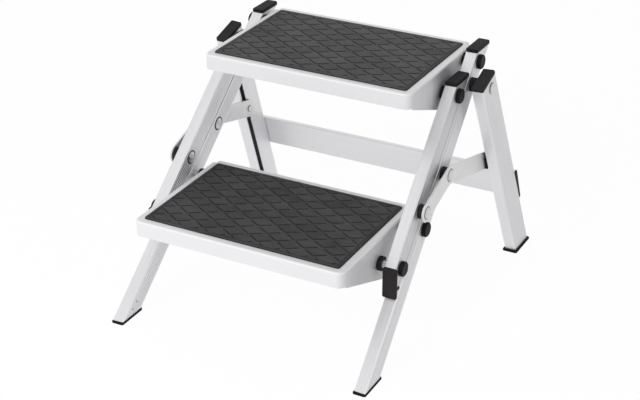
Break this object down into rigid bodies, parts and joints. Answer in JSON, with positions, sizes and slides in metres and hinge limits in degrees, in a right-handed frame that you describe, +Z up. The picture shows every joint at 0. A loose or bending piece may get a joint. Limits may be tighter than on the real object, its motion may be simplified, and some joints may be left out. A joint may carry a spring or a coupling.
{
  "type": "folding caravan entry step",
  "caption": "Folding caravan step: rubber-matted treads in pale pressed trays hinged between leaning aluminium stiles and front rails, with lever-linked rear legs and a crossbar.",
  "frame": {"origin": "on the floor, in the middle of the box around the open step", "axes": "+X to the right when facing the step, +Y towards the rear legs, +Z up"},
  "size_m": [0.5466, 0.6004, 0.4108],
  "materials": {
    "tube_aluminium": "satin anodised, drawn along the tube",
    "lever_aluminium": "satin, flat plate",
    "tray_coat": "pale silver coat, soft gloss",
    "mat_rubber": "matt",
    "cap_plastic": "fine grain",
    "foot_plastic": "matt",
    "bush_plastic": "half matt",
    "rivet_steel": "zinc plated"
  },
  "bodies": {
    "stiles": {"left_stile": "tube_aluminium", "right_stile": "tube_aluminium", "stile_caps": "cap_plastic", "stile_feet": "foot_plastic", "rear_bolts": "rivet_steel", "rear_discs": "bush_plastic", "upper_rear_bushes": "bush_plastic", "lower_rear_bushes": "bush_plastic", "rear_spacers": "rivet_steel", "lever_rear_rivets": "rivet_steel", "lever_rear_bushes": "bush_plastic", "leg_rivets": "rivet_steel", "leg_bushes": "bush_plastic"},
    "upper_step": {"upper_tray": "tray_coat", "upper_mat": "mat_rubber"},
    "lower_step": {"lower_tray": "tray_coat", "lower_mat": "mat_rubber"},
    "front_rails": {"left_rail": "tube_aluminium", "right_rail": "tube_aluminium", "rail_caps": "cap_plastic", "rail_end_caps": "cap_plastic", "front_bolts": "rivet_steel", "front_discs": "bush_plastic", "upper_front_bushes": "bush_plastic", "lower_front_bushes": "bush_plastic", "front_spacers": "rivet_steel", "lever_front_rivets": "rivet_steel", "lever_front_bushes": "bush_plastic"},
    "levers": {"left_lever": "lever_aluminium", "right_lever": "lever_aluminium", "lever_pins": "rivet_steel"},
    "glides": {"glides": "cap_plastic"},
    "rear_legs": {"left_leg": "tube_aluminium", "right_leg": "tube_aluminium", "leg_caps": "cap_plastic", "leg_feet": "foot_plastic", "crossbar": "tube_aluminium", "crossbar_caps": "cap_plastic"}
  },
  "joints": [
    {"name": "upper_fold", "type": "hinge", "parent": "stiles", "child": "upper_step", "pos_m": [0, 0.1549, 0.388], "axis": [-1, 0, 0], "range_deg": [0, 125]},
    {"name": "lower_fold", "type": "hinge", "parent": "stiles", "child": "lower_step", "pos_m": [0, -0.0721, 0.183], "axis": [-1, 0, 0], "range_deg": [0, 125]},
    {"name": "rail_fold", "type": "hinge", "parent": "upper_step", "child": "front_rails", "pos_m": [0, 0.06709, 0.3599], "axis": [-1, 0, 0], "range_deg": [-125, 0]},
    {"name": "lever_fold", "type": "hinge", "parent": "stiles", "child": "levers", "pos_m": [0, 0.00127, 0.24926], "axis": [-1, 0, 0], "range_deg": [0, 125]},
    {"name": "leg_fold", "type": "hinge", "parent": "stiles", "child": "rear_legs", "pos_m": [0, 0.12299, 0.35918], "axis": [-1, 0, 0], "range_deg": [0, 67.2]},
    {"name": "glide_turn", "type": "hinge", "parent": "levers", "child": "glides", "pos_m": [0, 0.1601, 0.20981], "axis": [-1, 0, 0], "range_deg": [-57.8, 0]}
  ],
  "couplings": [
    {"joint": "lower_fold", "follows": "upper_fold", "ratio": 1},
    {"joint": "rail_fold", "follows": "upper_fold", "ratio": -1},
    {"joint": "lever_fold", "follows": "upper_fold", "ratio": 1},
    {"joint": "leg_fold", "follows": "upper_fold", "ratio": 0.5376},
    {"joint": "glide_turn", "follows": "upper_fold", "ratio": -0.4624}
  ]
}
